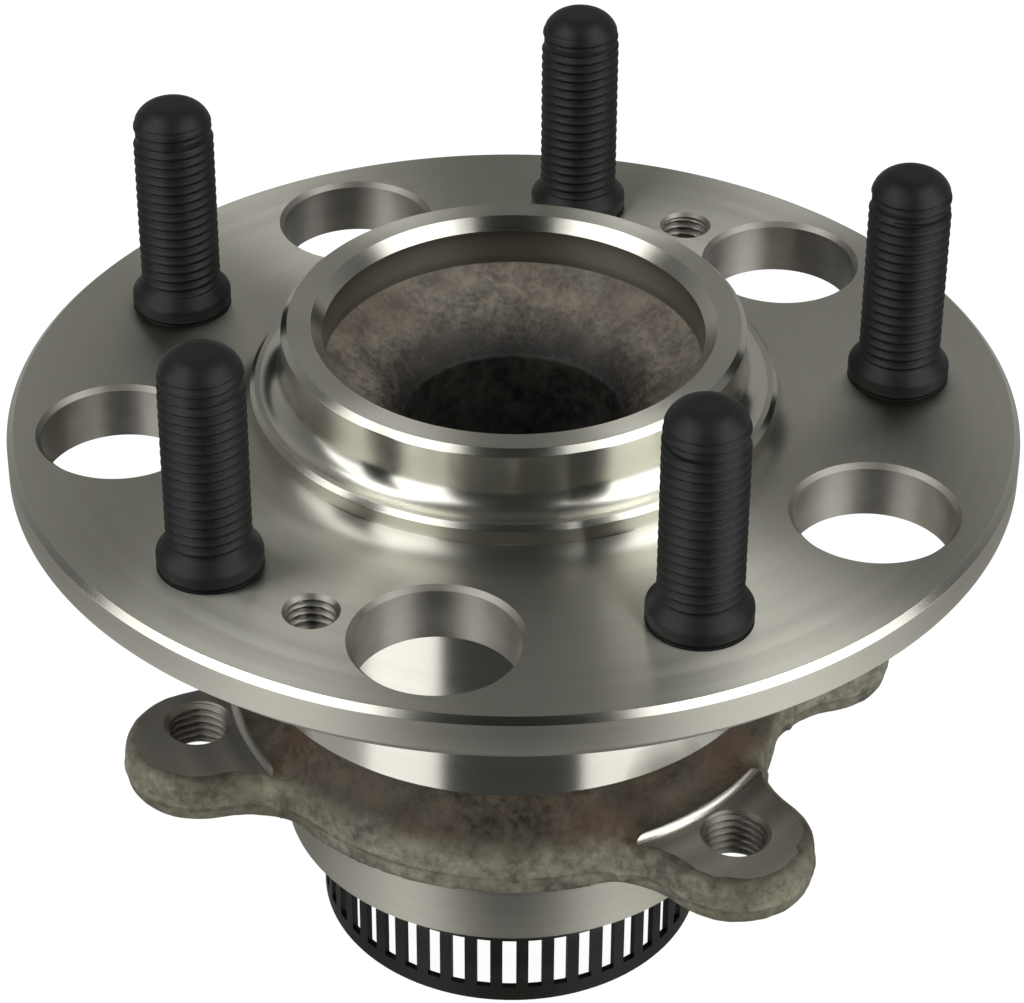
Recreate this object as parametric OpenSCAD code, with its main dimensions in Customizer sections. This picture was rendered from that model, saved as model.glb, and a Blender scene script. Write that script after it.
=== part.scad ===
// Rear wheel hub bearing: a flanged hub turning on two rows of balls in a bolted outer ring.
// The hub's axis is Z. The origin is the centre of the stud circle on the flange's wheel face.
// +Z points outboard, towards the wheel. The knuckle is on the -Z side.

/* [Wheel flange] */
// Outside diameter of the wheel flange
flange_d = 146.8; // [140:0.2:180]
// Flange thickness where the studs are pressed in
flange_t = 8.5; // [7:0.1:12]
// Height of the straight edge at the flange's rim
rim_t = 5.4; // [3:0.1:6.5]

/* [Pilots] */
// Diameter that centres the wheel
wheel_pilot_d = 67; // [55:0.1:72]
// Height of the wheel pilot above the flange
wheel_pilot_h = 14.3; // [12:0.1:20]
// Diameter that centres the brake rotor
rotor_pilot_d = 76.4; // [74:0.1:84]
// Height of the rotor pilot above the flange
rotor_pilot_h = 5; // [4:0.1:8]
// Wall between the wheel pilot and the cup inside it
cup_wall = 6; // [4:0.1:8]
// Diameter of the hole at the bottom of the cup
cup_hole_d = 32; // [20:0.5:34]

/* [Wheel studs] */
// Number of wheel studs
stud_count = 5; // [4:1:6]
// Diameter of the stud circle
stud_pcd = 114.3; // [108:0.1:120]
// Thread diameter of a stud
stud_d = 12; // [10:0.5:15]
// Height of a stud above the flange
stud_h = 34.3; // [25:0.1:50]
// Diameter over the stud's knurl
knurl_d = 14.8; // [12:0.1:17]
// Height of the collar's swelling above the flange
collar_h = 3.2; // [2:0.1:6]
// Diameter of the stud's head behind the flange
stud_head_d = 18; // [16:0.5:20]
// Thickness of the stud's head
stud_head_t = 4.5; // [3:0.1:6]
// Angle of the first stud from the X axis
stud_phase = 25; // [0:0.1:72]

/* [Flange holes] */
// Diameter of the access holes between the studs
access_d = 22.8; // [16:0.1:26]
// Tapping diameter of the two rotor screw holes
rotor_screw_d = 6.8; // [5:0.1:9]

/* [Ball rows] */
// Balls in each row
ball_count = 13; // [9:1:13]
// Pitch diameter of the outboard row
outboard_pitch_d = 60; // [58:0.5:62]
// Ball diameter of the outboard row
outboard_ball_d = 12.7; // [10:0.1:12.8]
// Pitch diameter of the inboard row
inboard_pitch_d = 52; // [50:0.5:53]
// Ball diameter of the inboard row
inboard_ball_d = 11.1; // [9:0.1:11.2]
// Contact angle of both rows
contact_angle = 35; // [25:1:40]

/* [Outer ring] */
// Diameter of the turned outboard end
ring_d = 81; // [80:0.5:90]
// Gap between the flange and the outer ring
ring_gap = 3.5; // [2.5:0.1:6]
// Length of the turned outboard end
band_l = 28.7; // [24:0.1:32]
// Distance from the outboard end to the machined ear faces
ear_drop = 38.7; // [36:0.1:48]
// Ear thickness, from the ear face to the knuckle face
ear_t = 7.7; // [7:0.1:14]
// Diameter that centres the ring in the knuckle
knuckle_pilot_d = 70.4; // [70:0.1:74]
// Length of the knuckle pilot
knuckle_pilot_l = 14.6; // [10:0.1:18]
// Diameter of the forged body at the ears
body_d = 82.4; // [80:0.2:94]
// Distance of the mounting holes from the axis
ear_hole_r = 48.8; // [46:0.1:58]
// Radius of the ears' round ends
ear_end_r = 11.8; // [10:0.1:16]
// Angle between the two ears on either side of the Y axis
ear_spread = 118; // [80:0.5:130]
// Turn of the first ear's outline past its hole
ear_lean = 3.3; // [0:0.1:6]
// Tapping diameter of the mounting holes
ear_hole_d = 8.8; // [7:0.1:13]

/* [Tone ring] */
// Outside diameter of the tone ring
tone_d = 59.3; // [58:0.1:62]
// Sheet thickness of the tone ring
tone_wall = 1; // [0.8:0.1:1.6]
// Length of the tone ring beyond the outer ring
tone_reach = 17.3; // [15:0.1:24]
// Number of slots
slot_count = 47; // [30:1:60]
// Slot width
slot_w = 2.1; // [1:0.1:2.4]
// Slot length
slot_l = 9.4; // [5:0.1:11]
// Plain band below the slots
slot_margin = 2.6; // [1.5:0.1:4]
// Angle of the first slot from the X axis
slot_phase = 3.3; // [0:0.1:12]

/* [Hidden] */
$fn = 96;

// Fits and small allowances
run_gap = 0.05;
lip_gap = 0.05;
eps = 0.01;
edge = 0.8;

// Stations along the axis, from the wheel end down
ring_top = -flange_t - ring_gap;
band_end = ring_top - band_l;
ear_face = ring_top - ear_drop;
knuckle_face = ear_face - ear_t;
ring_end = knuckle_face - knuckle_pilot_l;
tone_end = ring_end - tone_reach;
seal_depth = 6;
outboard_z = ring_top - seal_depth - outboard_ball_d / 2 - 1.8;
inboard_z = ring_end + seal_depth + inboard_ball_d / 2 + 1.2;

// Radii of the two races
shoulder_share = 0.4;
groove_ratio = 0.52;
outboard_r = outboard_pitch_d / 2;
inboard_r = inboard_pitch_d / 2;
outboard_ball_r = outboard_ball_d / 2;
inboard_ball_r = inboard_ball_d / 2;
hub_land_r = outboard_r - outboard_ball_r + shoulder_share * outboard_ball_d;
cone_land_r = inboard_r - inboard_ball_r + shoulder_share * inboard_ball_d;
ring_land_r = outboard_r + outboard_ball_r - shoulder_share * outboard_ball_d;
ring_small_land_r = inboard_r + inboard_ball_r - shoulder_share * inboard_ball_d;
outboard_bore_r = outboard_r + outboard_ball_r + 0.25;
inboard_bore_r = inboard_r + inboard_ball_r + 0.25;

// Small inner ring and the spindle end that holds it
cone_wall = 4.9;
cone_seat_r = inboard_r - inboard_ball_r - cone_wall;
cone_top = inboard_z + inboard_ball_r + 4;
cone_end = ring_end - 4.8;
roll_t = 3.5;
roll_r = cone_seat_r + 5;
spindle_bore_r = 10.5;
spindle_bore_depth = 14;

// Cup in the wheel pilot
cup_r = wheel_pilot_d / 2 - cup_wall;
cup_hole_r = cup_hole_d / 2;
cup_band = 7;
cup_floor = -0.5;
cup_bottom = outboard_z + 2;

// Angles of the holes in the flange
stud_step = 360 / stud_count;
stud_seat_r = max(knurl_d / 2, stud_d / 2 + 0.4);
access_phase = stud_phase + stud_step / 2;
rotor_screw_phase = stud_phase + stud_step * 3 / 4;

// Ears
ear_angles = [for (side = [-90, 90], half = [-1, 1]) side + half * ear_spread / 2];
ear_blend_r = 14;
blend_sink = 0.15;
forged_round = 1.8;
foot_round = 1.6;
forged_top = ear_face + 0.2;
forged_low = knuckle_face - 0.3;
turned_step_r = body_d / 2 + 1;
step_top = ear_face + 1.1;
step_half_angle = 17;

BALL_NUMBERS = [for (i = [1:ball_count]) i];

// ---- Shared shapes -------------------------------------------------------

// Copies its children round the axis
module around(count, phase = 0) {
    for (i = [0:count - 1]) rotate([0, 0, phase + i * 360 / count]) children();
}

// A drilled hole on a pitch radius, with a chamfer at its upper mouth
module chamfered_hole(r, top, bottom, chamfer) {
    translate([0, 0, bottom]) cylinder(r = r, h = top - bottom);
    translate([0, 0, top - chamfer]) cylinder(r1 = r, r2 = r + chamfer + eps, h = chamfer + eps);
}

// Cuts a quarter round into the outer corner of a section at x, y: up is 1 or -1
module outer_round(x, y, r, up) {
    translate([x - r, y - up * r]) mirror([0, up > 0 ? 0 : 1]) difference() {
        square(r + 1);
        circle(r);
    }
}

// Half section of a race groove, a ball radius set off along the contact line
module race_groove(row_r, row_z, ball_r, side) {
    groove_r = 2 * groove_ratio * ball_r;
    shift = groove_r - ball_r - run_gap;
    translate([row_r - side[0] * shift * cos(contact_angle), row_z - side[1] * shift * sin(contact_angle)])
        circle(groove_r);
}

// ---- Hub and studs -------------------------------------------------------

// Section of the hub outside the cup. Each inner corner is left full, then cut by its fillet.
module hub_outline() {
    pilot_r = wheel_pilot_d / 2;
    rotor_r = rotor_pilot_d / 2;
    flange_r = flange_d / 2;
    race_low_r = outboard_r - outboard_ball_r - run_gap;
    waist_r = inboard_r - inboard_ball_r - run_gap;
    ledge = 3.2;
    root = 3;
    back = min(3.4, ring_gap - 0.1);
    difference() {
        polygon([
            [0, wheel_pilot_h], [pilot_r - 0.9, wheel_pilot_h], [pilot_r, wheel_pilot_h - 0.9],
            [pilot_r, rotor_pilot_h + ledge], [pilot_r + ledge, rotor_pilot_h + ledge],
            [pilot_r + ledge, rotor_pilot_h],
            [rotor_r - 0.7, rotor_pilot_h], [rotor_r, rotor_pilot_h - 0.7],
            [rotor_r, root], [rotor_r + root, root], [rotor_r + root, 0],
            [flange_r - 0.9, 0], [flange_r, -0.9],
            [flange_r, -rim_t], [flange_r - (flange_t - rim_t), -flange_t],
            [hub_land_r + back, -flange_t], [hub_land_r + back, -flange_t - back],
            [hub_land_r, -flange_t - back], [hub_land_r, outboard_z],
            [race_low_r, outboard_z], [race_low_r, outboard_z - outboard_ball_r],
            [waist_r, cone_top + 6], [waist_r, cone_top],
            [cone_seat_r, cone_top], [cone_seat_r, cone_end],
            [roll_r, cone_end], [roll_r, cone_end - roll_t + 2], [roll_r - 2, cone_end - roll_t],
            [0, cone_end - roll_t]]);
        translate([pilot_r + ledge, rotor_pilot_h + ledge]) circle(ledge);
        translate([rotor_r + root, root]) circle(root);
        translate([hub_land_r + back, -flange_t - back]) circle(back);
    }
}

// Section of the cup, its forged bowl and the hole below it
module cup_outline() {
    polygon([
        [0, wheel_pilot_h + eps], [cup_r + 1.7 + eps, wheel_pilot_h + eps], [cup_r, wheel_pilot_h - 1.7],
        [cup_r, cup_band], [cup_r - 3, cup_band - 2.2], [cup_hole_r + 3.5, cup_floor + 2.2],
        [cup_hole_r, cup_floor - 2], [cup_hole_r - 1.5, cup_bottom + 5],
        [cup_hole_r - 6, cup_bottom], [0, cup_bottom]]);
}

module hub_spindle() {
    color([0.62, 0.62, 0.6]) difference() {
        rotate_extrude() difference() {
            hub_outline();
            cup_outline();
            race_groove(outboard_r, outboard_z, outboard_ball_r, [-1, 1]);
            translate([0, cone_end - roll_t - eps]) square([spindle_bore_r, spindle_bore_depth]);
        }
        around(stud_count, stud_phase) translate([stud_pcd / 2, 0, 0])
            translate([0, 0, -flange_t - eps]) cylinder(r = stud_seat_r, h = flange_t + 2 * eps);
        around(stud_count, access_phase) translate([stud_pcd / 2, 0, 0])
            chamfered_hole(access_d / 2, 0, -flange_t - eps, 0.6);
        around(2, rotor_screw_phase) translate([stud_pcd / 2, 0, 0])
            chamfered_hole(rotor_screw_d / 2, 0, -flange_t - eps, 1);
    }
}

// One pressed-in stud: head, knurl, swollen collar, threaded shank and domed end
module wheel_stud(i) {
    dome_r = stud_d / 3;
    shank_r = stud_d / 2;
    color([0.1, 0.1, 0.1])
        rotate([0, 0, stud_phase + (i - 1) * stud_step]) translate([stud_pcd / 2, 0, 0])
            rotate_extrude() {
                polygon([
                    [0, -flange_t - stud_head_t], [stud_head_d / 2 - 1, -flange_t - stud_head_t],
                    [stud_head_d / 2, -flange_t - stud_head_t + 1], [stud_head_d / 2, -flange_t],
                    [stud_seat_r, -flange_t], [stud_seat_r, collar_h - 0.8],
                    [shank_r + 0.2, collar_h + 0.9],
                    [shank_r, collar_h + 1.5], [shank_r, stud_h - dome_r], [0, stud_h - dome_r]]);
                intersection() {
                    translate([stud_d / 2 - dome_r, stud_h - dome_r]) circle(dome_r);
                    translate([0, stud_h - dome_r]) square(stud_d);
                }
                translate([0, stud_h - dome_r]) square([stud_d / 2 - dome_r, dome_r]);
            }
}

// ---- Outer ring ----------------------------------------------------------

// Section of the round body: turned band, forged neck and flare, knuckle pilot
module ring_outline() {
    band_r = ring_d / 2;
    neck_r = band_r - 2.6;
    body_r = body_d / 2;
    pilot_r = knuckle_pilot_d / 2;
    cove_r = 8;
    crest_r = 3.5;
    crest_x = body_r - crest_r;
    crest_z = ear_face - 1.3;
    cove_x = neck_r + cove_r;
    cove_z = crest_z + sqrt(pow(cove_r + crest_r, 2) - pow(cove_x - crest_x, 2));
    touch = crest_r / (cove_r + crest_r);
    touch_z = crest_z + touch * (cove_z - crest_z);
    difference() {
        polygon([
            [0, ring_top], [band_r - edge, ring_top], [band_r, ring_top - edge],
            [band_r, band_end + 0.4], [band_r - 0.4, band_end], [neck_r + 0.6, band_end],
            [neck_r, band_end - 0.6], [neck_r, cove_z], [cove_x, cove_z],
            [crest_x + touch * (cove_x - crest_x), touch_z], [body_r, crest_z],
            [body_r, forged_low], [pilot_r, forged_low],
            [pilot_r, ring_end + 0.5], [pilot_r - 0.5, ring_end], [0, ring_end]]);
        intersection() {
            translate([cove_x, cove_z]) circle(cove_r);
            translate([neck_r - 1, crest_z - 2]) square([20, band_end - 0.3 - crest_z + 2]);
        }
        outer_round(body_r, forged_low, foot_round - 0.5, -1);
    }
}

// Section of a forged ear plate: square at x = 0, rounded edges at x = r
module plate_section(r) {
    difference() {
        translate([0, forged_low]) square([r, forged_top - forged_low]);
        outer_round(r, forged_low, foot_round, -1);
        outer_round(r, forged_top, forged_round, 1);
    }
}

// Forged rise above an ear face: it carries the neck's flare out to the turned step
module ear_rise() {
    rise_r = 4.5;
    neck_r = ring_d / 2 - 2.6;
    centre = [neck_r + rise_r - blend_sink, step_top + rise_r];
    rotate([0, 0, -step_half_angle]) rotate_extrude(angle = 2 * step_half_angle) difference() {
        polygon([
            [neck_r - 1, centre[1]], [centre[0], centre[1]], [centre[0], step_top],
            [turned_step_r + 1, step_top], [turned_step_r + 1, ear_face - 0.8],
            [neck_r - 1, ear_face - 0.8]]);
        translate(centre) circle(rise_r);
    }
}

// One ear along X: a round end, a web, and on each side a concave blend into the body.
// A blend is swept between the planes in which its arc touches, and ends just inside the rounds.
module ear() {
    body_r = body_d / 2;
    reach = body_r + ear_blend_r;
    side = ear_end_r + ear_blend_r;
    turn = acos((reach * reach + ear_hole_r * ear_hole_r - side * side) / (2 * reach * ear_hole_r));
    blend = reach * [cos(turn), sin(turn)];
    wrap = atan2(blend[1], blend[0] - ear_hole_r);
    sweep_w = ear_end_r * 0.8;
    web_in = sweep_w * 0.8;
    body_side = (body_r - web_in) * [cos(turn), sin(turn)];
    ear_side = [ear_hole_r, 0] + (ear_end_r - web_in) * [cos(wrap), sin(wrap)];
    translate([ear_hole_r, 0, 0]) rotate_extrude() plate_section(ear_end_r);
    for (flip = [0, 1]) mirror([0, flip, 0])
        translate([blend[0], blend[1], 0]) rotate([0, 0, 180 + turn])
            rotate_extrude(angle = wrap - turn)
                translate([ear_blend_r + blend_sink + sweep_w, 0]) mirror([1, 0]) plate_section(sweep_w);
    translate([0, 0, forged_low]) linear_extrude(forged_top - forged_low)
        polygon([[body_side[0], -body_side[1]], [ear_side[0], -ear_side[1]], ear_side, body_side]);
}

module outer_ring() {
    color([0.42, 0.41, 0.38]) difference() {
        union() {
            rotate_extrude() ring_outline();
            for (i = [0:3]) rotate([0, 0, ear_angles[i] + (i == 0 ? ear_lean : 0)]) {
                ear();
                ear_rise();
            }
        }
        // Turned ear faces and the flat knuckle face round the pilot
        rotate_extrude() translate([turned_step_r, ear_face]) square([60, ear_drop - band_l - 1]);
        rotate_extrude() translate([knuckle_pilot_d / 2, knuckle_face - 5]) square([60, 5]);
        rotate_extrude() {
            translate([0, ring_end - eps]) square([inboard_bore_r, inboard_z - ring_end]);
            translate([0, outboard_z]) square([outboard_bore_r, ring_top - outboard_z + eps]);
            polygon([
                [0, inboard_z - 1], [ring_small_land_r, inboard_z - 1],
                [ring_small_land_r, inboard_z + inboard_ball_r + 2],
                [ring_land_r, outboard_z - outboard_ball_r - 2],
                [ring_land_r, outboard_z + 1], [0, outboard_z + 1]]);
            race_groove(outboard_r, outboard_z, outboard_ball_r, [1, -1]);
            race_groove(inboard_r, inboard_z, inboard_ball_r, [1, 1]);
        }
        for (a = ear_angles) rotate([0, 0, a]) translate([ear_hole_r, 0, 0])
            chamfered_hole(ear_hole_d / 2, ear_face, knuckle_face - 1, 0.5);
    }
}

// ---- Small inner ring ----------------------------------------------------

module inner_ring() {
    low_r = inboard_r - inboard_ball_r - run_gap;
    color([0.6, 0.6, 0.6]) rotate_extrude() difference() {
        polygon([
            [cone_seat_r, cone_top], [low_r - 0.5, cone_top], [low_r, cone_top - 0.5],
            [low_r, inboard_z], [cone_land_r, inboard_z],
            [cone_land_r, cone_end + 0.5], [cone_land_r - 0.5, cone_end], [cone_seat_r, cone_end]]);
        race_groove(inboard_r, inboard_z, inboard_ball_r, [-1, -1]);
    }
}

// ---- Balls and cages -----------------------------------------------------

module ball(row_r, row_z, ball_r, i) {
    color([0.85, 0.86, 0.88]) rotate([0, 0, (i - 1) * 360 / ball_count])
        translate([row_r, 0, row_z]) sphere(ball_r);
}

// Crown cage: its back ring runs over the high land, and its prongs reach past the balls.
// side is 1 for the outboard row and -1 for the inboard row.
module crown_cage(row_r, row_z, ball_r, land_r, far_land_r, side) {
    pocket_gap = 0.15;
    back = ball_r + 0.9;
    front = ball_r * 0.45;
    in_r = land_r + 0.6;
    out_r = row_r + 2.4;
    color([0.78, 0.72, 0.55]) difference() {
        rotate_extrude() translate([0, row_z]) mirror([0, side > 0 ? 0 : 1]) polygon([
            [in_r, -front], [far_land_r - 0.4, -front], [far_land_r - 0.4, 0.3],
            [out_r, 2.5], [out_r, back], [in_r, back]]);
        around(ball_count) translate([row_r, 0, row_z]) sphere(ball_r + pocket_gap);
    }
}

// ---- Seals ---------------------------------------------------------------

// Steel case of the outboard seal, pressed into the outer ring
module outboard_seal_case() {
    out = outboard_bore_r;
    low = ring_top - seal_depth;
    color([0.5, 0.5, 0.52]) rotate_extrude() {
        translate([out - 1, low]) square([1, seal_depth - 0.4]);
        translate([hub_land_r + 3, low]) square([out - hub_land_r - 3.5, 1]);
    }
}

// Rubber of the outboard seal: a body on the case, two lips on the hub and one on the flange
module outboard_seal_lip() {
    low = ring_top - seal_depth;
    tip = hub_land_r + lip_gap;
    out = outboard_bore_r - 1;
    color([0.12, 0.12, 0.12]) rotate_extrude() polygon([
        [hub_land_r + 3, low], [hub_land_r + 3, low + 1], [out, low + 1],
        [out, low + 2.2], [out - 1.2, low + 2.4],
        [out + 0.6, -flange_t - 1.6], [out - 0.2, -flange_t - 0.6], [out - 2.4, low + 2.6],
        [hub_land_r + 3.4, low + 2.4], [tip + 0.5, low + 4.4], [tip, low + 4.2],
        [hub_land_r + 2, low + 1.6], [tip, low - 0.4], [tip + 0.5, low - 0.6]]);
}

module inboard_seal_case() {
    top = ring_end + seal_depth;
    out = inboard_bore_r;
    color([0.5, 0.5, 0.52]) rotate_extrude() {
        translate([out - 0.9, ring_end + 0.3]) square([0.9, seal_depth - 0.3]);
        translate([cone_land_r + 2.4, top - 0.9]) square([out - cone_land_r - 2.8, 0.9]);
    }
}

// Slinger pressed on the inner ring, closing the seal towards the knuckle
module inboard_seal_slinger() {
    color([0.66, 0.66, 0.68]) rotate_extrude() {
        translate([cone_land_r, ring_end + 0.1]) square([0.9, seal_depth - 1.6]);
        translate([cone_land_r + 0.5, ring_end + 0.1]) square([inboard_bore_r - cone_land_r - 1.8, 0.9]);
    }
}

module inboard_seal_lip() {
    top = ring_end + seal_depth;
    out = inboard_bore_r - 0.9;
    tip = cone_land_r + 0.9 + lip_gap;
    color([0.12, 0.12, 0.12]) rotate_extrude() polygon([
        [cone_land_r + 2.4, top], [cone_land_r + 2.4, top - 0.9], [out, top - 0.9],
        [out, top - 1.9], [out - 1.2, top - 2.1], [out - 0.9, ring_end + 1.1], [out - 1.5, ring_end + 1.1],
        [out - 2, top - 2.2], [tip + 1, top - 2.2], [tip + 0.4, top - 3.6], [tip, top - 3.5],
        [tip + 0.2, top - 1.2], [cone_land_r + lip_gap, top - 0.2], [cone_land_r + lip_gap + 0.4, top]]);
}

// ---- Tone ring -----------------------------------------------------------

// Drawn sheet ring: a sleeve on the inner ring, a step out, and the slotted cylinder
module tone_ring() {
    out = tone_d / 2;
    step_z = cone_end + tone_wall;
    bend = 2;
    color([0.08, 0.08, 0.08]) difference() {
        rotate_extrude() difference() {
            translate([cone_land_r, tone_end]) square([out - cone_land_r, ring_end - 0.4 - tone_end]);
            translate([cone_land_r + tone_wall, step_z]) square(out);
            translate([0, tone_end - 1]) square([out - tone_wall, cone_end - tone_end + 1]);
            outer_round(out, step_z, bend, 1);
        }
        around(slot_count, slot_phase) translate([out - tone_wall - 1, -slot_w / 2, tone_end + slot_margin])
            cube([tone_wall + 2, slot_w, slot_l]);
    }
}

// ---- Output --------------------------------------------------------------

hub_spindle();
for (i = [1:stud_count]) wheel_stud(i);
outer_ring();
inner_ring();
for (i = BALL_NUMBERS) ball(outboard_r, outboard_z, outboard_ball_r, i);
for (i = BALL_NUMBERS) ball(inboard_r, inboard_z, inboard_ball_r, i);
crown_cage(outboard_r, outboard_z, outboard_ball_r, hub_land_r, ring_land_r, 1);  // outboard_cage
crown_cage(inboard_r, inboard_z, inboard_ball_r, cone_land_r, ring_small_land_r, -1);  // inboard_cage
outboard_seal_case();
outboard_seal_lip();
inboard_seal_case();
inboard_seal_slinger();
inboard_seal_lip();
tone_ring();
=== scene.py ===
"""Wheel hub bearing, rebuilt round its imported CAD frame."""

import math

import bmesh
import bpy
import numpy as np
from mathutils import Matrix, Vector, noise


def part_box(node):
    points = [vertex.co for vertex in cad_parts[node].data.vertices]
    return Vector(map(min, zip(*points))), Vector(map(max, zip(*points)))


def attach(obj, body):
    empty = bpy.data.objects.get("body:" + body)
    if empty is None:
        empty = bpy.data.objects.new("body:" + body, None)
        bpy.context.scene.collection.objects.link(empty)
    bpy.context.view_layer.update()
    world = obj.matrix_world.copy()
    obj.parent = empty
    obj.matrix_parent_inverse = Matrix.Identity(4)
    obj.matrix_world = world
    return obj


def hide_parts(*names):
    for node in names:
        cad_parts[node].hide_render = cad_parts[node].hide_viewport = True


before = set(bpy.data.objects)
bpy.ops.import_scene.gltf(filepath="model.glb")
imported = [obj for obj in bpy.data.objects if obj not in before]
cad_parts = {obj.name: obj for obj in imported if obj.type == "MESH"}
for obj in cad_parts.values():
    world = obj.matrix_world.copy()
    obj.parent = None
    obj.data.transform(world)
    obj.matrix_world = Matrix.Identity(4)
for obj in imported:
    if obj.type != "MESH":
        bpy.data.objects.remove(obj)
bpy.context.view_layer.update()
MM = 0.001

# ---- Studio ----------------------------------------------------------------
# A camera looking down on the wheel face at about 34 degrees. Tall soft walls stand
# left and right of it, two soft panels hang overhead, and the far side is dim grey.

scene = bpy.context.scene
scene.view_settings.view_transform = "Standard"


def placed(name, data):
    """Puts data in the scene as an object."""
    made = bpy.data.objects.new(name, data)
    scene.collection.objects.link(made)
    return made


camera_turn = math.radians(17.1)
camera_height = math.radians(33.838)
camera_distance = 0.509668
camera_roll = math.radians(0.302)
studio = Matrix.Rotation(camera_turn, 4, "Z")

camera_data = bpy.data.cameras.new("camera")
camera_data.sensor_fit = "HORIZONTAL"
camera_data.sensor_width = 36
camera_data.lens = 122.987
camera_data.shift_x = -0.0015566
camera_data.shift_y = -0.0970127
camera_data.clip_start = 0.01
camera = placed("camera", camera_data)
stand = Vector((0, -math.cos(camera_height), math.sin(camera_height))) * camera_distance
forward = -stand.normalized()
side = Vector((1, 0, 0))
above = side.cross(forward)
right = side * math.cos(camera_roll) + above * math.sin(camera_roll)
down = side * math.sin(camera_roll) - above * math.cos(camera_roll)
aim = Matrix((right, -down, -forward)).transposed().to_4x4()
aim.translation = stand
camera.matrix_world = studio @ aim
scene.camera = camera


def add(tree, kind, inputs=None, **settings):
    """Adds a shader node, links or sets its inputs, and returns it."""
    made = tree.nodes.new(kind)
    for key, value in settings.items():
        setattr(made, key, value)
    for key, value in (inputs or {}).items():
        if isinstance(value, bpy.types.NodeSocket):
            tree.links.new(value, made.inputs[key])
        else:
            made.inputs[key].default_value = value
    return made


def blank_material(name):
    """A material with an empty node tree, and that tree."""
    made = bpy.data.materials.new(name)
    made.use_nodes = True
    made.node_tree.nodes.clear()
    return made, made.node_tree


def area_lamp(name, width, height, radiance, placement):
    """A rectangular lamp with the same radiance at any size, hidden from the camera."""
    data = bpy.data.lights.new(name, "AREA")
    data.shape = "RECTANGLE"
    data.size, data.size_y = width, height
    data.energy = radiance * math.pi * data.size * data.size_y
    lamp = placed(name, data)
    lamp.matrix_world = placement
    lamp.visible_camera = False


def soft_wall(name, first, last, low, high, radiance, distance=1.0):
    """An upright lamp that fills the bearings first to last, in degrees from the camera's side,
    between two heights in metres."""
    middle, half = math.radians((first + last) / 2), math.radians((last - first) / 2)
    spot = Vector((math.sin(middle) * distance, -math.cos(middle) * distance, (low + high) / 2))
    facing = Vector((-spot.x, -spot.y, 0)).to_track_quat("-Z", "Y").to_matrix().to_4x4()
    area_lamp(name, 2 * distance * math.tan(half), high - low, radiance,
              studio @ Matrix.Translation(spot) @ facing)


soft_wall("wall_left", -62, -44, -0.9, 1.9, 2.4)
soft_wall("wall_left_inner", -44, -29, -0.9, 1.5, 2.4)
soft_wall("wall_left_high", -92, -62, 0.1, 1.9, 2.1)
soft_wall("wall_left_low", -98, -62, -0.9, 0.1, 0.6)
soft_wall("wall_right_inner", 29, 46, -0.9, 1.5, 2.4)
soft_wall("wall_right", 46, 72, -0.9, 1.9, 2.4)
soft_wall("wall_right_high", 72, 92, 0.1, 1.9, 2.1)
soft_wall("wall_right_low", 72, 98, -0.9, 0.1, 0.8)

ceiling_height = 1.0
for side_name, offset in (("left", -0.64), ("right", 0.66)):
    area_lamp("ceiling_" + side_name, 0.42, 0.6, 3.1,
              studio @ Matrix.Translation((offset, 0.02, ceiling_height)))

world = bpy.data.worlds.new("studio")
scene.world = world
world.use_nodes = True
tree = world.node_tree
tree.nodes.clear()
path = add(tree, "ShaderNodeLightPath")
ray = add(tree, "ShaderNodeTexCoord")
far = studio @ Vector((0, 1, 0))
depth = add(tree, "ShaderNodeVectorMath", {0: ray.outputs["Generated"], 1: far},
            operation="DOT_PRODUCT")
dim = add(tree, "ShaderNodeMapRange", {"Value": depth.outputs["Value"], "From Min": -0.05, "From Max": 0.8,
                                       "To Min": 0.02, "To Max": 0.36})
height = add(tree, "ShaderNodeSeparateXYZ", {0: ray.outputs["Generated"]})
below = add(tree, "ShaderNodeMapRange", {"Value": height.outputs["Z"], "From Min": 0.0, "From Max": -0.4,
                                         "To Min": 0.0, "To Max": 0.05})
total = add(tree, "ShaderNodeMath", {0: dim.outputs[0], 1: below.outputs[0]}, operation="ADD")
room = add(tree, "ShaderNodeBackground", {"Color": (1, 0.995, 0.98, 1), "Strength": total.outputs[0]})
seen = add(tree, "ShaderNodeBackground", {"Color": (1, 1, 1, 1), "Strength": 1.0})
mix = add(tree, "ShaderNodeMixShader",
          {0: path.outputs["Is Camera Ray"], 1: room.outputs[0], 2: seen.outputs[0]})
add(tree, "ShaderNodeOutputWorld", {0: mix.outputs[0]})

floor_material, tree = blank_material("pale_floor")
path = add(tree, "ShaderNodeLightPath")
paper = add(tree, "ShaderNodeBsdfDiffuse", {"Color": (0.12, 0.12, 0.12, 1)})
glow = add(tree, "ShaderNodeEmission", {"Color": (0.96, 0.96, 0.96, 1), "Strength": 1.0})
lit = add(tree, "ShaderNodeAddShader", {0: paper.outputs[0], 1: glow.outputs[0]})
glass = add(tree, "ShaderNodeBsdfTransparent")
bounce = add(tree, "ShaderNodeMixShader",
             {0: path.outputs["Is Camera Ray"], 1: glass.outputs[0], 2: lit.outputs[0]})
add(tree, "ShaderNodeOutputMaterial", {0: bounce.outputs[0]})
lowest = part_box("tone_ring")[0].z
floor_mesh = bpy.data.meshes.new("floor")
floor_mesh.from_pydata([(-4, -4, lowest), (4, -4, lowest), (4, 4, lowest), (-4, 4, lowest)], [],
                       [(0, 1, 2, 3)])
floor_mesh.materials.append(floor_material)
floor = placed("floor", floor_mesh)

# ---- Hub -------------------------------------------------------------------
# The flanged hub is one steel forging, turned all over on its outside and left
# as forged in the bowl inside the wheel pilot. Its holes are drilled after turning.


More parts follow.
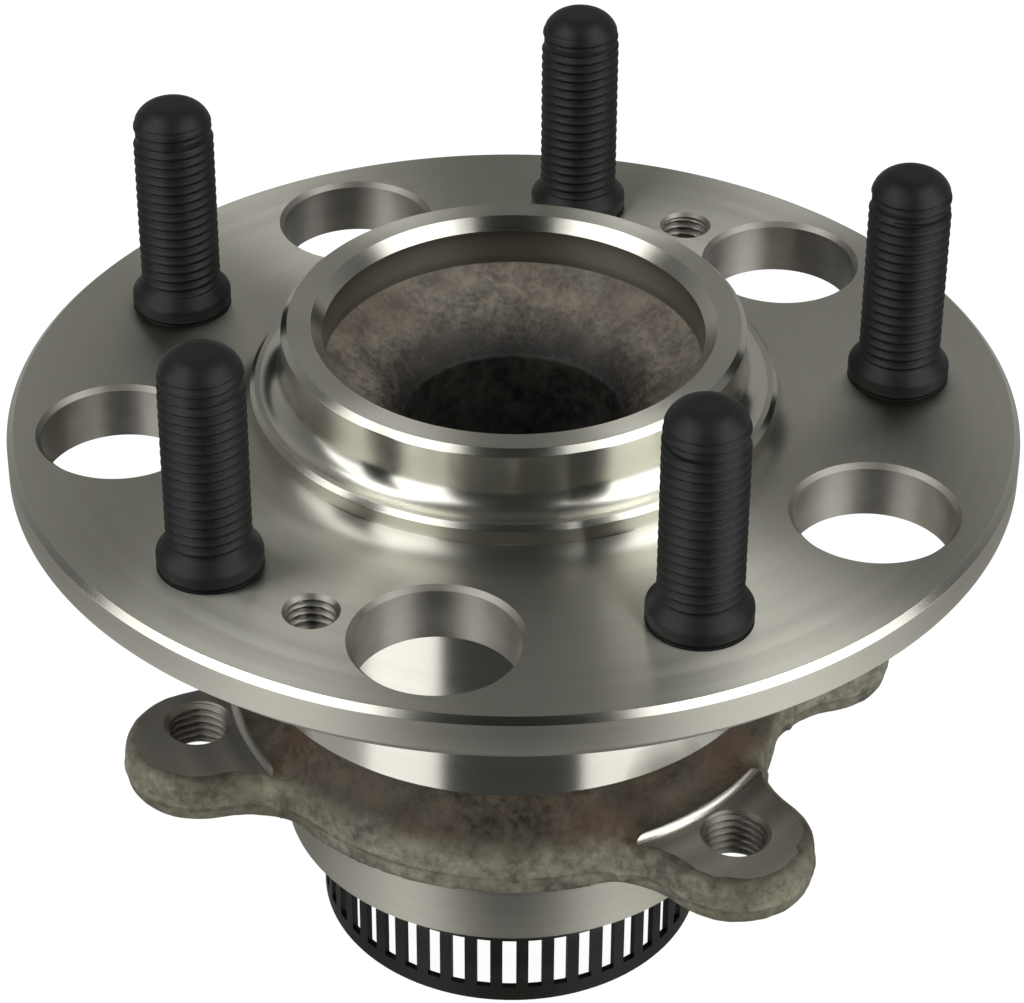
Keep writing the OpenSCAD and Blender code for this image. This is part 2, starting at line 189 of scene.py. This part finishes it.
def rounded(corners):
    """Points of a section; a corner given as (r, z, round) gets an arc of that radius."""
    out = []
    n = len(corners)
    for i, c in enumerate(corners):
        p = np.array(c[:2], float)
        if len(c) < 3 or i in (0, n - 1):
            out.append(p)
            continue
        a = np.array(corners[i - 1][:2], float) - p
        b = np.array(corners[i + 1][:2], float) - p
        la, lb = np.linalg.norm(a), np.linalg.norm(b)
        a, b = a / la, b / lb
        half = math.acos(np.clip(a @ b, -1, 1)) / 2
        reach = min(c[2] / math.tan(half), 0.85 * la, 0.85 * lb)
        size = reach * math.tan(half)
        middle = p + (a + b) / np.linalg.norm(a + b) * size / math.sin(half)
        start, end = p + a * reach - middle, p + b * reach - middle
        turn = math.atan2(start[0] * end[1] - start[1] * end[0], start @ end)
        steps = max(2, int(abs(turn) / math.radians(9)))
        for k in range(steps + 1):
            t = turn * k / steps
            out.append(middle + np.array([start[0] * math.cos(t) - start[1] * math.sin(t),
                                          start[0] * math.sin(t) + start[1] * math.cos(t)]))
    return out


def turned(name, section, around=256, closed=False, zone=None):
    """Revolves a section in mm about Z. zone(r, z) gives each band its material index."""
    points = [(max(p[0], 0.0), p[1]) for p in section]
    mesh = bmesh.new()
    rings = []
    for r, z in points:
        if r < 1e-6:
            rings.append([mesh.verts.new((0, 0, z * MM))])
        else:
            rings.append([mesh.verts.new((r * MM * math.cos(t), r * MM * math.sin(t), z * MM))
                          for t in (2 * math.pi * k / around for k in range(around))])
    pairs = list(zip(range(len(rings) - 1), range(1, len(rings))))
    if closed:
        pairs.append((len(rings) - 1, 0))
    for i, j in pairs:
        a, b = rings[i], rings[j]
        if len(a) == 1 and len(b) == 1:
            continue
        middle = [(points[i][axis] + points[j][axis]) / 2 for axis in (0, 1)]
        index = zone(*middle) if zone else 0
        for k in range(around):
            m = (k + 1) % around
            if len(a) == 1:
                face = (a[0], b[m], b[k])
            elif len(b) == 1:
                face = (a[k], a[m], b[0])
            else:
                face = (a[k], a[m], b[m], b[k])
            mesh.faces.new(face).material_index = index
    bmesh.ops.recalc_face_normals(mesh, faces=mesh.faces)
    data = bpy.data.meshes.new(name)
    mesh.to_mesh(data)
    mesh.free()
    return placed(name, data)


def bake(piece):
    """Keeps what the piece's modifiers make of it as its mesh."""
    graph = bpy.context.evaluated_depsgraph_get()
    done = bpy.data.meshes.new_from_object(piece.evaluated_get(graph))
    done.name = piece.name
    piece.modifiers.clear()
    piece.data = done
    return piece


def cut(piece, *tools, how="DIFFERENCE", solver="EXACT"):
    """Machines a piece with tool bodies and keeps the result as its mesh."""
    for tool in tools:
        step = piece.modifiers.new("cut", "BOOLEAN")
        step.operation, step.solver, step.object = how, solver, tool
    bake(piece)
    for tool in tools:
        bpy.data.objects.remove(tool)
    return piece


def finish_faces(piece, crease=28):
    """Smooth faces, crisp edges above crease degrees, and flats that stay flat."""
    mesh = bmesh.new()
    mesh.from_mesh(piece.data)
    bmesh.ops.remove_doubles(mesh, verts=mesh.verts, dist=1e-7)
    bmesh.ops.dissolve_degenerate(mesh, edges=mesh.edges, dist=1e-7)
    limit = math.radians(crease)
    for face in mesh.faces:
        face.smooth = True
    for edge in mesh.edges:
        edge.smooth = len(edge.link_faces) == 2 and edge.calc_face_angle(0) < limit
    mesh.to_mesh(piece.data)
    mesh.free()
    even = piece.modifiers.new("even", "WEIGHTED_NORMAL")
    even.weight, even.keep_sharp = 100, True
    return bake(piece)


def on_circle(piece, radius, angle):
    """Moves a piece built on the axis out to a radius in mm and an angle in degrees."""
    a = math.radians(angle)
    piece.data.transform(Matrix.Translation((radius * MM * math.cos(a), radius * MM * math.sin(a), 0))
                         @ Matrix.Rotation(a, 4, "Z"))
    return piece


def thread(name, low, high, outer, pitch, depth, envelope, around=72, per_turn=14):
    """A threaded rod in mm. envelope(z) is the largest radius at a height; the ends are flat."""
    count = max(2, int((high - low) / pitch * per_turn))
    heights = np.linspace(low, high, count + 1)
    angles = np.arange(around) * 2 * math.pi / around
    z, t = np.meshgrid(heights, angles, indexing="ij")
    phase = np.mod(z / pitch - t / (2 * math.pi), 1.0)
    tooth = np.clip((np.abs(phase - 0.5) * 2 - 0.14) / 0.7, 0, 1)
    limit = np.array([envelope(h) for h in heights])[:, None]
    r = np.minimum(outer - depth * tooth, limit)
    verts = np.stack([r * np.cos(t), r * np.sin(t), z], -1).reshape(-1, 3) * MM
    faces = []
    for i in range(count):
        for k in range(around):
            m = (k + 1) % around
            faces.append((i * around + k, i * around + m, (i + 1) * around + m, (i + 1) * around + k))
    faces.append(tuple(range(around))[::-1])
    faces.append(tuple(count * around + k for k in range(around)))
    data = bpy.data.meshes.new(name)
    data.from_pydata(verts.tolist(), [], faces)
    return placed(name, data)


def ball_track(r, z, radius, first, last, count):
    """The arc of a ball track in a section, between two angles in radians."""
    return [(r + radius * math.cos(t), z + radius * math.sin(t)) for t in np.linspace(first, last, count)]


stud_circle = 57.15
stud_angles = [25 + 72 * k for k in range(5)]
stud_seat = 7.4
access_hole = 11.4
flange_back = -8.5
outboard_track = 6.604
tap_pitch, tap_depth = 1.25, 0.62
hub_section = rounded([
    (0, -24.15), (10, -24.15, 2), (14.5, -19.15, 3), (16.0, -2.5, 1.2), (19.5, 1.7, 3.5), (24.5, 4.8, 2.2),
    (27.5, 7.0, 0.3), (27.5, 12.6, 0.1), (29.2, 14.3, 0.1), (32.6, 14.3, 0.1), (33.5, 13.4, 0.2),
    (33.5, 5.0, 3.2), (37.5, 5.0, 0.1), (38.2, 4.3, 0.1), (38.2, 0, 3.0),
    (72.5, 0, 0.15), (73.4, -0.9, 0.15), (73.4, -5.4, 0.2), (70.3, flange_back, 0.3),
    (28.73, flange_back, 3.4), (28.73, -19.8)])
hub_section += ball_track(30.167, -26.267, outboard_track, 1.79, 3.24, 14)
hub_section += rounded([
    (23.6, -27.1), (23.6, -32.5), (20.4, -44.7), (20.4, -50.7), (15.55, -50.7), (15.55, -77.85),
    (20.55, -77.85, 0.2), (20.55, -79.3, 1), (18.55, -81.3, 1), (10.5, -81.3, 0.6), (10.5, -67.3, 0.8),
    (0, -67.3)])


def hub_zone(r, z):
    """0 flat faces, 1 forged bowl, 3 the pilots' walls and edges, 4 the rim, 5 the cup's wall, 6 its
    hole. The drilled holes get 2 from their tools."""
    if r < 17 and -24.5 < z < 0:
        return 6
    if r < 27.7 and -24.5 < z < 7.3:
        return 1
    if r < 27.6 and z > 0:
        return 5
    if (0.02 < z < 14.25 and r < 38.3 and not 4.98 < z < 5.01) or (r > 72.45 and z > -0.91):
        return 3
    return 4 if r > 72.45 or z < -5 else 0


hub = turned("hub", hub_section, around=320, zone=hub_zone)
tools = []
for angle in stud_angles:
    seat = turned("drill", [(0, -9), (stud_seat, -9), (stud_seat, 0.5), (0, 0.5)], 64)
    access = turned("drill", [(0, -9), (access_hole, -9), (access_hole, -0.7), (12.2, 0.1), (12.2, 0.5),
                              (0, 0.5)], 128)
    tools += [on_circle(seat, stud_circle, angle), on_circle(access, stud_circle, angle + 36)]
for angle in (stud_angles[0] + 54, stud_angles[0] + 234):
    tap = thread("tap", -9.5, 0.9, 3.95, tap_pitch, tap_depth, lambda z: 3.95 if z < -0.7 else 3.4, 48, 12)
    cone = turned("drill", [(0, -0.8), (3.3, -0.6), (4.1, 0.1), (4.1, 0.5), (0, 0.5)], 64)
    tools += [on_circle(tap, stud_circle, angle), on_circle(cone, stud_circle, angle)]


def effect(name, inputs, outputs):
    """An empty shader node group with its sockets, and its input and output nodes."""
    made = bpy.data.node_groups.new(name, "ShaderNodeTree")
    for key, kind, value in inputs:
        socket = made.interface.new_socket(key, in_out="INPUT", socket_type=kind)
        socket.default_value = value
    for key, kind in outputs:
        made.interface.new_socket(key, in_out="OUTPUT", socket_type=kind)
    return made, made.nodes.new("NodeGroupInput"), made.nodes.new("NodeGroupOutput")


# Fine rings left by the lathe: noise drawn out round the axis, by radius and by height.
turning, given, result = effect(
    "turning_marks",
    [("Rings", "NodeSocketFloat", 900.0), ("Waver", "NodeSocketFloat", 2.0)],
    [("Height", "NodeSocketFloat"), ("Shade", "NodeSocketFloat")])
where = add(turning, "ShaderNodeTexCoord")
parts = add(turning, "ShaderNodeSeparateXYZ", {0: where.outputs["Object"]})
flat = add(turning, "ShaderNodeCombineXYZ", {"X": parts.outputs["X"], "Y": parts.outputs["Y"]})
radius = add(turning, "ShaderNodeVectorMath", {0: flat.outputs[0]}, operation="LENGTH")
line = add(turning, "ShaderNodeCombineXYZ", {"X": radius.outputs["Value"], "Y": parts.outputs["Z"]})
fine = add(turning, "ShaderNodeVectorMath", {0: line.outputs[0], "Scale": given.outputs["Rings"]},
           operation="SCALE")
rings = add(turning, "ShaderNodeTexNoise", {"Vector": fine.outputs[0], "Scale": 3.0, "Detail": 3.0,
                                            "Roughness": 0.7})
broad = add(turning, "ShaderNodeTexNoise", {"Vector": line.outputs[0], "Scale": 260.0, "Detail": 2.0})
drift = add(turning, "ShaderNodeTexNoise", {"Vector": where.outputs["Object"], "Scale": 24.0,
                                            "Detail": 3.0})
both = add(turning, "ShaderNodeMath", {0: broad.outputs["Fac"], 1: drift.outputs["Fac"]},
           operation="ADD")
half = add(turning, "ShaderNodeMath", {0: both.outputs[0], 1: 0.5}, operation="MULTIPLY")
turning.links.new(rings.outputs["Fac"], result.inputs["Height"])
turning.links.new(half.outputs[0], result.inputs["Shade"])


def metal(name, dark, light, rough, spread=0.0, marks=0.0, rings_per_m=900.0, metallic=1.0, gloss=0.5):
    """Turned or ground metal: two tones that drift, ring marks, and a stretched highlight."""
    made, tree = blank_material(name)
    lathe = add(tree, "ShaderNodeGroup", node_tree=turning)
    lathe.inputs["Rings"].default_value = rings_per_m
    tone = add(tree, "ShaderNodeValToRGB", {"Fac": lathe.outputs["Shade"]})
    low, high = tone.color_ramp.elements
    low.position, high.position = 0.35, 0.65
    low.color, high.color = (*dark, 1), (*light, 1)
    wear = add(tree, "ShaderNodeMapRange", {"Value": lathe.outputs["Shade"], "From Min": 0.3,
                                            "From Max": 0.7, "To Min": rough * 0.85,
                                            "To Max": rough * 1.15})
    bump = add(tree, "ShaderNodeBump", {"Height": lathe.outputs["Height"], "Strength": marks,
                                        "Distance": 0.00002})
    shader = add(tree, "ShaderNodeBsdfPrincipled", {
        "Base Color": tone.outputs[0], "Metallic": metallic, "Roughness": wear.outputs[0],
        "Normal": bump.outputs[0], "Anisotropic": spread, "Anisotropic Rotation": 0.25,
        "Specular IOR Level": gloss})
    if spread:
        along = add(tree, "ShaderNodeTangent", direction_type="RADIAL", axis="Z")
        tree.links.new(along.outputs[0], shader.inputs["Tangent"])
    add(tree, "ShaderNodeOutputMaterial", {0: shader.outputs[0]})
    return made


# Forged skin: scale in two tones, stains, and a shallow uneven surface.
skin, given, result = effect(
    "forged_skin",
    [("Dark", "NodeSocketColor", (0.1, 0.09, 0.07, 1)), ("Light", "NodeSocketColor", (0.3, 0.28, 0.24, 1)),
     ("Stain", "NodeSocketColor", (0.13, 0.08, 0.05, 1)), ("Stained", "NodeSocketFloat", 0.3),
     ("Size", "NodeSocketFloat", 1.0)],
    [("Color", "NodeSocketColor"), ("Height", "NodeSocketFloat"), ("Rough", "NodeSocketFloat")])
where = add(skin, "ShaderNodeTexCoord")
spot = add(skin, "ShaderNodeVectorMath", {0: where.outputs["Object"], "Scale": given.outputs["Size"]},
           operation="SCALE")
patches = add(skin, "ShaderNodeTexNoise", {"Vector": spot.outputs[0], "Scale": 110.0, "Detail": 6.0,
                                           "Roughness": 0.62})
grain = add(skin, "ShaderNodeTexNoise", {"Vector": spot.outputs[0], "Scale": 520.0, "Detail": 4.0,
                                         "Roughness": 0.65})
clouds = add(skin, "ShaderNodeTexNoise", {"Vector": spot.outputs[0], "Scale": 38.0, "Detail": 4.0})
mixed = add(skin, "ShaderNodeMath", {0: patches.outputs["Fac"], 1: grain.outputs["Fac"]}, operation="ADD")
level = add(skin, "ShaderNodeMapRange", {"Value": mixed.outputs[0], "From Min": 0.8, "From Max": 1.22})
scale_mix = add(skin, "ShaderNodeMix", {"Factor": level.outputs[0], 6: given.outputs["Dark"],
                                        7: given.outputs["Light"]}, data_type="RGBA")
rust = add(skin, "ShaderNodeMapRange", {"Value": clouds.outputs["Fac"], "From Min": 0.45,
                                        "From Max": 0.62})
amount = add(skin, "ShaderNodeMath", {0: rust.outputs[0], 1: given.outputs["Stained"]},
             operation="MULTIPLY")
stained = add(skin, "ShaderNodeMix", {"Factor": amount.outputs[0], 6: scale_mix.outputs[2],
                                      7: given.outputs["Stain"]}, data_type="RGBA")
matt = add(skin, "ShaderNodeMapRange", {"Value": grain.outputs["Fac"], "From Min": 0.3, "From Max": 0.7,
                                        "To Min": 0.45, "To Max": 0.75})
skin.links.new(stained.outputs[2], result.inputs["Color"])
skin.links.new(mixed.outputs[0], result.inputs["Height"])
skin.links.new(matt.outputs[0], result.inputs["Rough"])


def forging(name, dark, light, stain, stained, size=1.0, relief=0.5, metallic=0.7, core=None):
    """Scaled forged surface. core is the pair of radii in mm over which painted shade darkens it towards the
    axis; the edge strays by the skin's height, which averages about 1, times the wander in mm."""
    made, tree = blank_material(name)
    face = add(tree, "ShaderNodeGroup", node_tree=skin)
    face.inputs["Dark"].default_value = (*dark, 1)
    face.inputs["Light"].default_value = (*light, 1)
    face.inputs["Stain"].default_value = (*stain, 1)
    face.inputs["Stained"].default_value = stained
    face.inputs["Size"].default_value = size
    bump = add(tree, "ShaderNodeBump", {"Height": face.outputs["Height"], "Strength": relief,
                                        "Distance": 0.0003})
    colour = face.outputs["Color"]
    # Painted shade: the colour is darkened towards the axis, where shade falls into the bowl round its hole.
    if core:
        wander = 3.0
        where = add(tree, "ShaderNodeTexCoord")
        flat = add(tree, "ShaderNodeVectorMath", {0: where.outputs["Object"], 1: (1, 1, 0)},
                   operation="MULTIPLY")
        radius = add(tree, "ShaderNodeVectorMath", {0: flat.outputs[0]}, operation="LENGTH")
        ragged = add(tree, "ShaderNodeMath", {0: face.outputs["Height"], 1: wander * MM,
                                              2: radius.outputs["Value"]}, operation="MULTIPLY_ADD")
        painted_shade = add(tree, "ShaderNodeMapRange", {
            "Value": ragged.outputs[0], "From Min": (core[0] + wander) * MM,
            "From Max": (core[1] + wander) * MM, "To Min": 0.08})
        colour = add(tree, "ShaderNodeMix", {"Factor": 1.0, 6: colour, 7: painted_shade.outputs[0]},
                     data_type="RGBA", blend_type="MULTIPLY").outputs[2]
    shader = add(tree, "ShaderNodeBsdfPrincipled", {
        "Base Color": colour, "Metallic": metallic, "Roughness": face.outputs["Rough"],
        "Normal": bump.outputs[0]})
    add(tree, "ShaderNodeOutputMaterial", {0: shader.outputs[0]})
    return made


turned_steel = metal("turned_steel", (0.47, 0.46, 0.40), (0.58, 0.57, 0.50), 0.38, 0.96, 0.15)
# The bowl's scale is real; its darkening towards the hole is painted shade.
bowl_scale_and_painted_shade = forging("bowl_scale_and_painted_shade", (0.075, 0.064, 0.05), (0.22, 0.195, 0.155), (0.11, 0.085, 0.06),
                     0.4, size=1.9, metallic=0.3, core=(17.0, 22.5))
# The hole's skin is painted near black as shade inside the deep pocket.
hole_scale_painted_shade = forging("hole_scale_painted_shade", (0.008, 0.007, 0.005), (0.035, 0.032, 0.026), (0.014, 0.011, 0.008),
                     0.4, metallic=0.2)
drilled_steel = metal("drilled_steel", (0.22, 0.21, 0.185), (0.32, 0.305, 0.27), 0.46, 0.0, 0.3)
pilot_steel = metal("pilot_steel", (0.55, 0.54, 0.48), (0.63, 0.62, 0.55), 0.24, 0.75, 0.15)
rim_steel = metal("rim_steel", (0.35, 0.34, 0.295), (0.42, 0.41, 0.36), 0.52, 0.5, 0.3)
cup_steel = metal("cup_steel", (0.17, 0.16, 0.125), (0.34, 0.32, 0.26), 0.4, 0.5, 0.3)
hub_finishes = [turned_steel, bowl_scale_and_painted_shade, drilled_steel, pilot_steel, rim_steel, cup_steel, hole_scale_painted_shade]
drilled = hub_finishes.index(drilled_steel)
for part in (hub, *tools):
    for finish in hub_finishes:
        part.data.materials.append(finish)
for tool in tools:
    for face in tool.data.polygons:
        face.material_index = drilled
cut(hub, *tools)
finish_faces(hub)
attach(hub, "hub")
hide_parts("hub_spindle")

# ---- Wheel studs -----------------------------------------------------------
# Each stud is rolled, heat treated and blackened, then pressed in from behind. Its
# collar bulges over the flange, and the thread ends in a plain domed nose.

stud_top = 34.3


def stud_envelope(z):
    """Outside radius of the stud at a height above the flange, thread aside."""
    dome = 3.9
    if z > stud_top - dome:
        lift = z - (stud_top - dome)
        return 5.85 - dome + math.sqrt(max(dome * dome - lift * lift, 0))
    return 5.95 if z < 29 else 5.6


black_oxide, tree = blank_material("black_oxide")
where = add(tree, "ShaderNodeTexCoord")
cloud = add(tree, "ShaderNodeTexNoise", {"Vector": where.outputs["Object"], "Scale": 300.0, "Detail": 4.0})
tone = add(tree, "ShaderNodeValToRGB", {"Fac": cloud.outputs["Fac"]})
tone.color_ramp.elements[0].color = (0.003, 0.003, 0.003, 1)
tone.color_ramp.elements[1].color = (0.010, 0.010, 0.010, 1)
gloss = add(tree, "ShaderNodeMapRange", {"Value": cloud.outputs["Fac"], "To Min": 0.35, "To Max": 0.55})
bump = add(tree, "ShaderNodeBump", {"Height": cloud.outputs["Fac"], "Strength": 0.15, "Distance": 0.0001})
shader = add(tree, "ShaderNodeBsdfPrincipled", {
    "Base Color": tone.outputs[0], "Metallic": 0.0, "Roughness": gloss.outputs[0], "Normal": bump.outputs[0],
    "Specular IOR Level": 0.25})
add(tree, "ShaderNodeOutputMaterial", {0: shader.outputs[0]})

for number, angle in enumerate(stud_angles, 1):
    shank = thread("stud_%d" % number, 2.9, stud_top, 5.95, 1.5, 0.6, stud_envelope)
    collar = turned("collar", rounded([
        (0, -13.0), (8.2, -13.0, 0.8), (9.0, -12.2, 0.8), (9.0, -8.55, 0.3), (7.35, -8.5), (7.35, -0.1),
        (6.9, 0.0, 0.1), (stud_seat, 0.9, 0.9), (stud_seat, 2.5, 0.9), (6.2, 4.0, 0.5), (5.2, 4.8),
        (0, 4.8)]), 72)
    cut(shank, collar, how="UNION")
    shank.data.materials.append(black_oxide)
    on_circle(shank, stud_circle, angle)
    finish_faces(shank, 40)
    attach(shank, "hub")
    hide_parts("wheel_stud_%d" % number)

# ---- Outer ring ------------------------------------------------------------
# The ring is forged with its four ears, so the neck, the rims and the ears' edges keep
# their skin. Its band, ear faces and knuckle pilot are turned, and its holes tapped.

ear_circle = 48.8
ear_holes = [-149, -31, 31, 149]
ear_turns = [-145.7, -31, 31, 149]


def ear_plan(inset):
    """Plan of the round body with its four ears, in mm, with every edge drawn in by inset."""
    body, blend, end = 41.2, 14.0, 11.8
    reach, side = body + blend, end + blend
    turn = math.acos((reach ** 2 + ear_circle ** 2 - side ** 2) / (2 * reach * ear_circle))
    bx, by = reach * math.cos(turn), reach * math.sin(turn)
    wrap = math.atan2(by, bx - ear_circle)
    arc = [(bx + (blend + inset) * math.cos(t), -by + (blend + inset) * math.sin(t))
           for t in np.linspace(math.pi - turn, math.pi - wrap, 14)]
    nose = [(ear_circle + (end - inset) * math.cos(t), (end - inset) * math.sin(t))
            for t in np.linspace(-wrap, wrap, 26)[1:-1]]
    half = arc + nose + [(x, -y) for x, y in reversed(arc)]
    plan = []
    for i, centre in enumerate(ear_turns):
        a = math.radians(centre)
        plan += [(x * math.cos(a) - y * math.sin(a), x * math.sin(a) + y * math.cos(a)) for x, y in half]
        after = math.radians(ear_turns[(i + 1) % 4] + (360 if i == 3 else 0))
        plan += [((body - inset) * math.cos(t), (body - inset) * math.sin(t))
                 for t in np.linspace(a + turn, after - turn, 16)[1:-1]]
    return plan


def stacked(name, loops):
    """A solid through loops of points in mm that all have the same count, closed at both ends."""
    count = len(loops[0])
    verts = [tuple(c * MM for c in p) for loop in loops for p in loop]
    faces = [(i * count + k, i * count + (k + 1) % count,
              (i + 1) * count + (k + 1) % count, (i + 1) * count + k)
             for i in range(len(loops) - 1) for k in range(count)]
    faces += [tuple(range(count))[::-1], tuple((len(loops) - 1) * count + k for k in range(count))]
    data = bpy.data.meshes.new(name)
    data.from_pydata(verts, [], faces)
    return placed(name, data)


draft_line, ridge_line = -54.6, -55.3
lower_round, lower_start = 1.6, -57.1
upper_round, upper_start = 1.9, -52.4


def plate_inset(z):
    """How far the ears' edge is drawn in at a height: draft both ways from its line, and rounds."""
    away = abs(z - draft_line)
    inset = 0.3 * min(away / 3, 1) if away > 0.35 else 0.0
    if z < lower_start:
        inset += lower_round - math.sqrt(max(lower_round ** 2 - (lower_start - z) ** 2, 0))
    if z > upper_start:
        inset += upper_round - math.sqrt(max(upper_round ** 2 - (z - upper_start) ** 2, 0))
    return inset


plates = stacked("outer_ring", [[(x, y, z) for x, y in ear_plan(plate_inset(z))]
                                for z in np.linspace(-58.7, -50.52, 22)])
neck = turned("neck", rounded([
    (33.0, -40.9), (37.9, -40.9), (37.9, -43.9), (38.3, -46.4), (39.4, -48.7), (41.2, -50.6, 1.4),
    (41.2, -58.6), (33.0, -58.6)]), 200, closed=True)
rises = []
for centre in ear_turns:
    loops = []
    for offset in np.linspace(-21, 21, 29):
        fade = min(max((20.5 - abs(offset)) / 5.5, 0), 1)
        sink = 3.0 * (1 - fade * fade * (3 - 2 * fade))
        t = math.radians(centre + offset)
        section = [(36.0, -57.0), (36.0, -43.6 - sink)]
        section += [(42.3 - 4.6 * math.cos(b), -45.0 - sink - 4.6 * math.sin(b))
                    for b in np.linspace(0, math.pi / 2, 9)]
        section += [(43.6, -49.7 - sink), (43.6, -57.0)]
        loops.append([(r * math.cos(t), r * math.sin(t), z) for r, z in section])
    rises.append(stacked("rise", loops))
forged = cut(plates, neck, *rises, how="UNION")
skin_step = forged.modifiers.new("skin", "REMESH")
skin_step.mode, skin_step.voxel_size = "VOXEL", 0.5 * MM
soft_step = forged.modifiers.new("soft", "SMOOTH")
soft_step.factor, soft_step.iterations = 0.5, 5
bake(forged)
spots = [(v.co.copy(), v.normal.copy()) for v in forged.data.vertices]
for vertex, (p, n) in zip(forged.data.vertices, spots):
    parting = max(0.0, 1 - abs(p.z / MM - ridge_line) / 0.6) * (1 - abs(n.z))
    rough = 0.10 * noise.noise(p * 260) + 0.06 * noise.noise(p * 700)
    vertex.co = p + n * (rough + 0.25 * parting - 0.08) * MM
for face in forged.data.polygons:
    face.use_smooth = True

# Finishes by number: 0 forged skin, 1 faced, in tones painted dark as shade, 2 the band, 3 the knuckle pilot
# and the inside.
core = turned("core", rounded([
    (36.6, -12), (39.7, -12), (40.5, -12.8), (40.5, -40.35, 0.2), (40.15, -40.7, 0.2), (35.2, -41.2),
    (35.2, -72.5), (34.7, -73), (31.8, -73), (31.8, -60.6)])
    + ball_track(25.859, -60.349, 5.772, 0.02, 1.35, 12)
    + [(27.11, -52.7), (31.27, -34.5)]
    + ball_track(29.833, -26.033, outboard_track, -1.35, -0.02, 12)
    + [(36.6, -26.0)], 256, closed=True, zone=lambda r, z: 2 if r > 36 and z > -41.1 else 3)
faces_tool = turned("facing", rounded([
    (42.2, -42.0), (42.2, -50.7, 1.2), (80, -50.7), (80, -42.0)]), 256, closed=True,
    zone=lambda r, z: 2 if r < 43.35 and z < -48 else 1)
knuckle_tool = turned("knuckle", [(34.6, -58.4), (80, -58.4), (80, -62), (34.6, -62)], 128, closed=True)
bore_tool = turned("bore", [(0, -62), (34.2, -62), (34.2, -38), (0, -38)], 128)
ring_tools = [faces_tool, knuckle_tool, bore_tool]
for angle in ear_holes:
    tap = thread("tap", -60, -50.2, 5.0, tap_pitch, tap_depth, lambda z: 5.0, 48, 12)
    mouth = turned("mouth", [(0, -51.6), (4.3, -51.6), (5.2, -50.7), (5.2, -50.2), (0, -50.2)], 64)
    ring_tools += [on_circle(tap, ear_circle, angle), on_circle(mouth, ear_circle, angle)]

# The neck's skin is browner than the rims' with real stain, and darker with painted shade under the flange
# and the band, so the skin's two tones change with height.
forged_steel = forging("forged_steel", (0.018, 0.014, 0.009), (0.082, 0.065, 0.042),
                       (0.075, 0.035, 0.015), 0.6, size=1.5, relief=0.6, metallic=0.4)
tree = forged_steel.node_tree
neck_skin_and_painted_shade = next(n for n in tree.nodes if n.type == "GROUP")
shader = next(n for n in tree.nodes if n.type == "BSDF_PRINCIPLED")
rim_skin = add(tree, "ShaderNodeGroup", {"Dark": (0.07, 0.067, 0.048, 1), "Light": (0.25, 0.24, 0.18, 1),
                                         "Stain": (0.11, 0.09, 0.05, 1), "Stained": 0.35}, node_tree=skin)
place = add(tree, "ShaderNodeTexCoord")
parts = add(tree, "ShaderNodeSeparateXYZ", {0: place.outputs["Object"]})
wander = add(tree, "ShaderNodeMath", {0: neck_skin_and_painted_shade.outputs["Height"], 1: 0.0012, 2: parts.outputs["Z"]},
             operation="MULTIPLY_ADD")
low = add(tree, "ShaderNodeMapRange", {"Value": wander.outputs[0], "From Min": -0.0475, "From Max": -0.0515})
blend = add(tree, "ShaderNodeMix", {"Factor": low.outputs[0], 6: neck_skin_and_painted_shade.outputs["Color"],
                                    7: rim_skin.outputs["Color"]}, data_type="RGBA")
tree.links.new(blend.outputs[2], shader.inputs["Base Color"])

# The faced steel's tones are painted dark as shade, since the ear faces sit low under the flange; the
# knuckle face, bore and tapped holes share it.
faced_steel_painted_shade = metal("faced_steel_painted_shade", (0.18, 0.17, 0.145), (0.3, 0.285, 0.245), 0.5, 0.7, 0.5)
spigot_steel = metal("spigot_steel", (0.3, 0.29, 0.25), (0.4, 0.39, 0.34), 0.5, 0.5, 0.3)
band_steel = metal("band_steel", (0.5, 0.49, 0.44), (0.6, 0.59, 0.53), 0.25, 0.8, 0.15)
for part in (forged, core, *ring_tools):
    for finish in (forged_steel, faced_steel_painted_shade, band_steel, spigot_steel):
        part.data.materials.append(finish)
for tool in ring_tools[1:]:
    for face in tool.data.polygons:
        face.material_index = 1
cut(forged, *ring_tools, solver="MANIFOLD")
cut(forged, core, how="UNION", solver="MANIFOLD")
finish_faces(forged, 32)
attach(forged, "outer_ring")
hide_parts("outer_ring")

# ---- Tone ring, inner ring, balls, cages and seals --------------------------
# The tone ring is drawn and slotted sheet, phosphated. The inner ring and balls are bearing
# steel, the cages moulded nylon, and the seals rubber on pressed cases. The CAD already
# gives these pieces in their true form, so each only gets its finish.

phosphate = metal("phosphate", (0.004, 0.004, 0.003), (0.012, 0.012, 0.010), 0.45, 0.0, 0.2,
                  metallic=0.0, gloss=0.2)
ground = metal("ground_steel", (0.55, 0.55, 0.54), (0.62, 0.62, 0.61), 0.2, 0.3, 0.3)
polished = metal("polished_steel", (0.66, 0.66, 0.66), (0.72, 0.72, 0.72), 0.06)
sheet = metal("pressed_sheet", (0.4, 0.4, 0.4), (0.5, 0.5, 0.5), 0.3, 0.2, 0.3)
rubber = metal("seal_rubber", (0.012, 0.012, 0.012), (0.03, 0.03, 0.03), 0.6, 0.0, 0.4, metallic=0.0)
nylon = metal("cage_nylon", (0.5, 0.42, 0.25), (0.6, 0.52, 0.34), 0.45, 0.0, 0.3, metallic=0.0)
for node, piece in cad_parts.items():
    finish = (phosphate if node == "tone_ring" else ground if node == "inner_ring"
              else polished if "ball" in node else nylon if "cage" in node
              else rubber if "lip" in node else sheet if "seal" in node else None)
    if finish:
        piece.data.materials.clear()
        piece.data.materials.append(finish)
